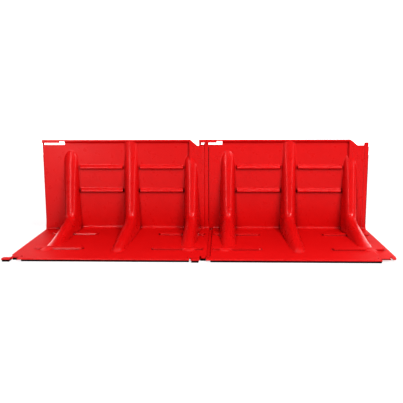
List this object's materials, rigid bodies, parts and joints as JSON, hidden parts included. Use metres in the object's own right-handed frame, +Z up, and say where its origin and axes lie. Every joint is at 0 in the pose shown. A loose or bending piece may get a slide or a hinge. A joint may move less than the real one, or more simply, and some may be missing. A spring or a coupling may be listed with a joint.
{
  "type": "flood barrier",
  "caption": "Run of interlocking L-shaped freestanding flood-barrier boxes: ribbed upright wall on a long ribbed floor plate, hollow buttress ridges, foam seals.",
  "frame": {"origin": "middle of the bounding box, on the ground", "axes": "+X along the run to the right seen from the water side, +Y away from the water, +Z up"},
  "size_m": [1.872, 0.694, 0.528],
  "materials": {
    "red_shell": "semi-gloss moulded ABS, self-coloured red",
    "black_foam": "black closed-cell foam seal"
  },
  "bodies": {
    "left_box": {"left_shell": "red_shell", "left_front_seal": "black_foam", "left_tongue_seal": "black_foam", "left_notch_seal": "black_foam", "left_wall_joint_seal": "black_foam", "left_floor_joint_seal": "black_foam"},
    "right_box": {"right_shell": "red_shell", "right_front_seal": "black_foam", "right_tongue_seal": "black_foam", "right_notch_seal": "black_foam", "right_wall_joint_seal": "black_foam", "right_floor_joint_seal": "black_foam"}
  },
  "joints": [
    {"name": "box_angle", "type": "hinge", "parent": "left_box", "child": "right_box", "pos_m": [0.0225, -0.304, 0], "axis": [0, 0, 1], "range_deg": [-1.5, 1.5]}
  ]
}
